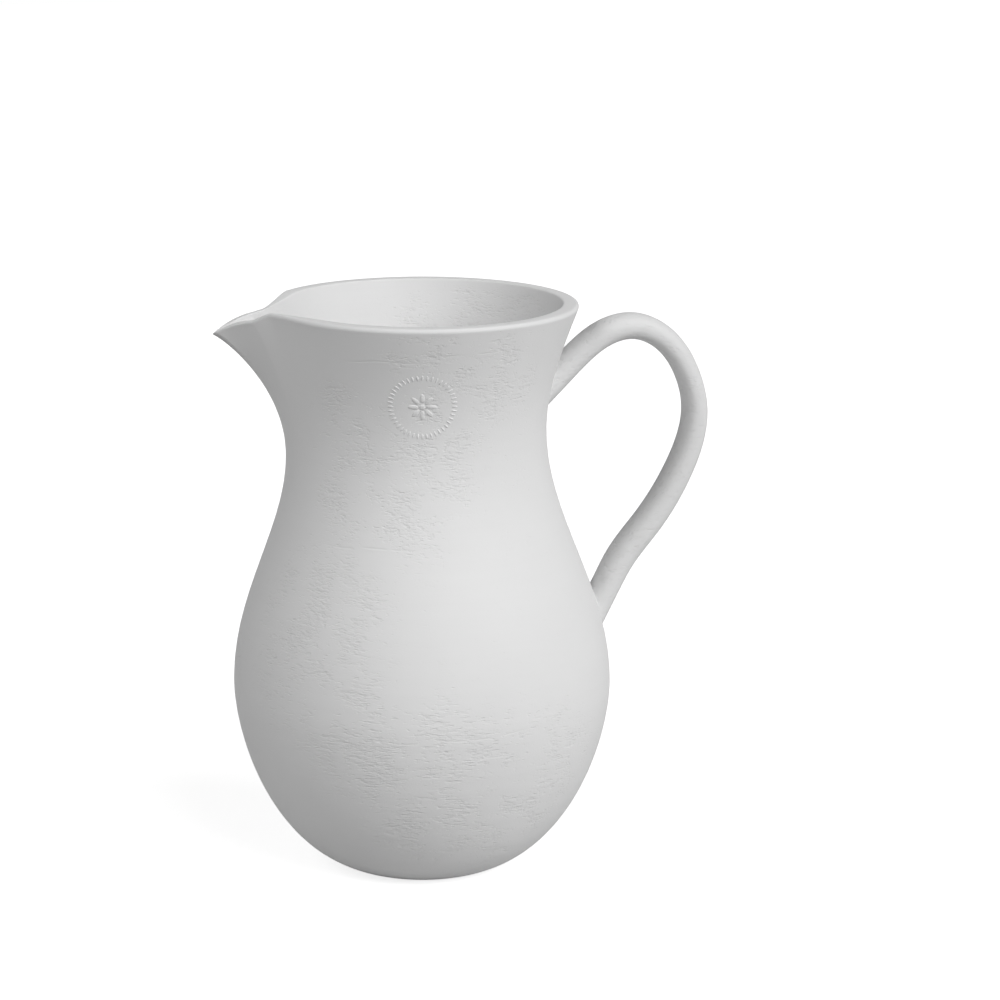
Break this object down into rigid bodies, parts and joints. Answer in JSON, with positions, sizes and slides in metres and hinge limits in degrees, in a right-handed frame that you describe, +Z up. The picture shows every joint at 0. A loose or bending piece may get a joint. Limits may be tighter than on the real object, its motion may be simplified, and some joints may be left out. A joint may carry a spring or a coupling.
{
  "type": "ceramic pitcher vase",
  "caption": "Wheel-thrown white ceramic vase of pitcher form: round belly, narrow neck, flared mouth with a pulled spout, and a looped strap handle.",
  "frame": {"origin": "middle of the flat foot, on the surface the vase stands on", "axes": "+Z up along the thrown axis; the handle stands on +X and the spout points to -X; +Y is across"},
  "size_m": [0.2173, 0.1648, 0.2503],
  "materials": {
    "body_clay": "matte unglazed white clay with a thin brushed wash",
    "handle_clay": "matte unglazed white clay",
    "joint_slip": "matte dried and fired slip"
  },
  "bodies": {
    "root": {"vessel_body": "body_clay", "handle": "handle_clay", "upper_slip_joint": "joint_slip", "lower_slip_joint": "joint_slip"}
  },
  "joints": []
}
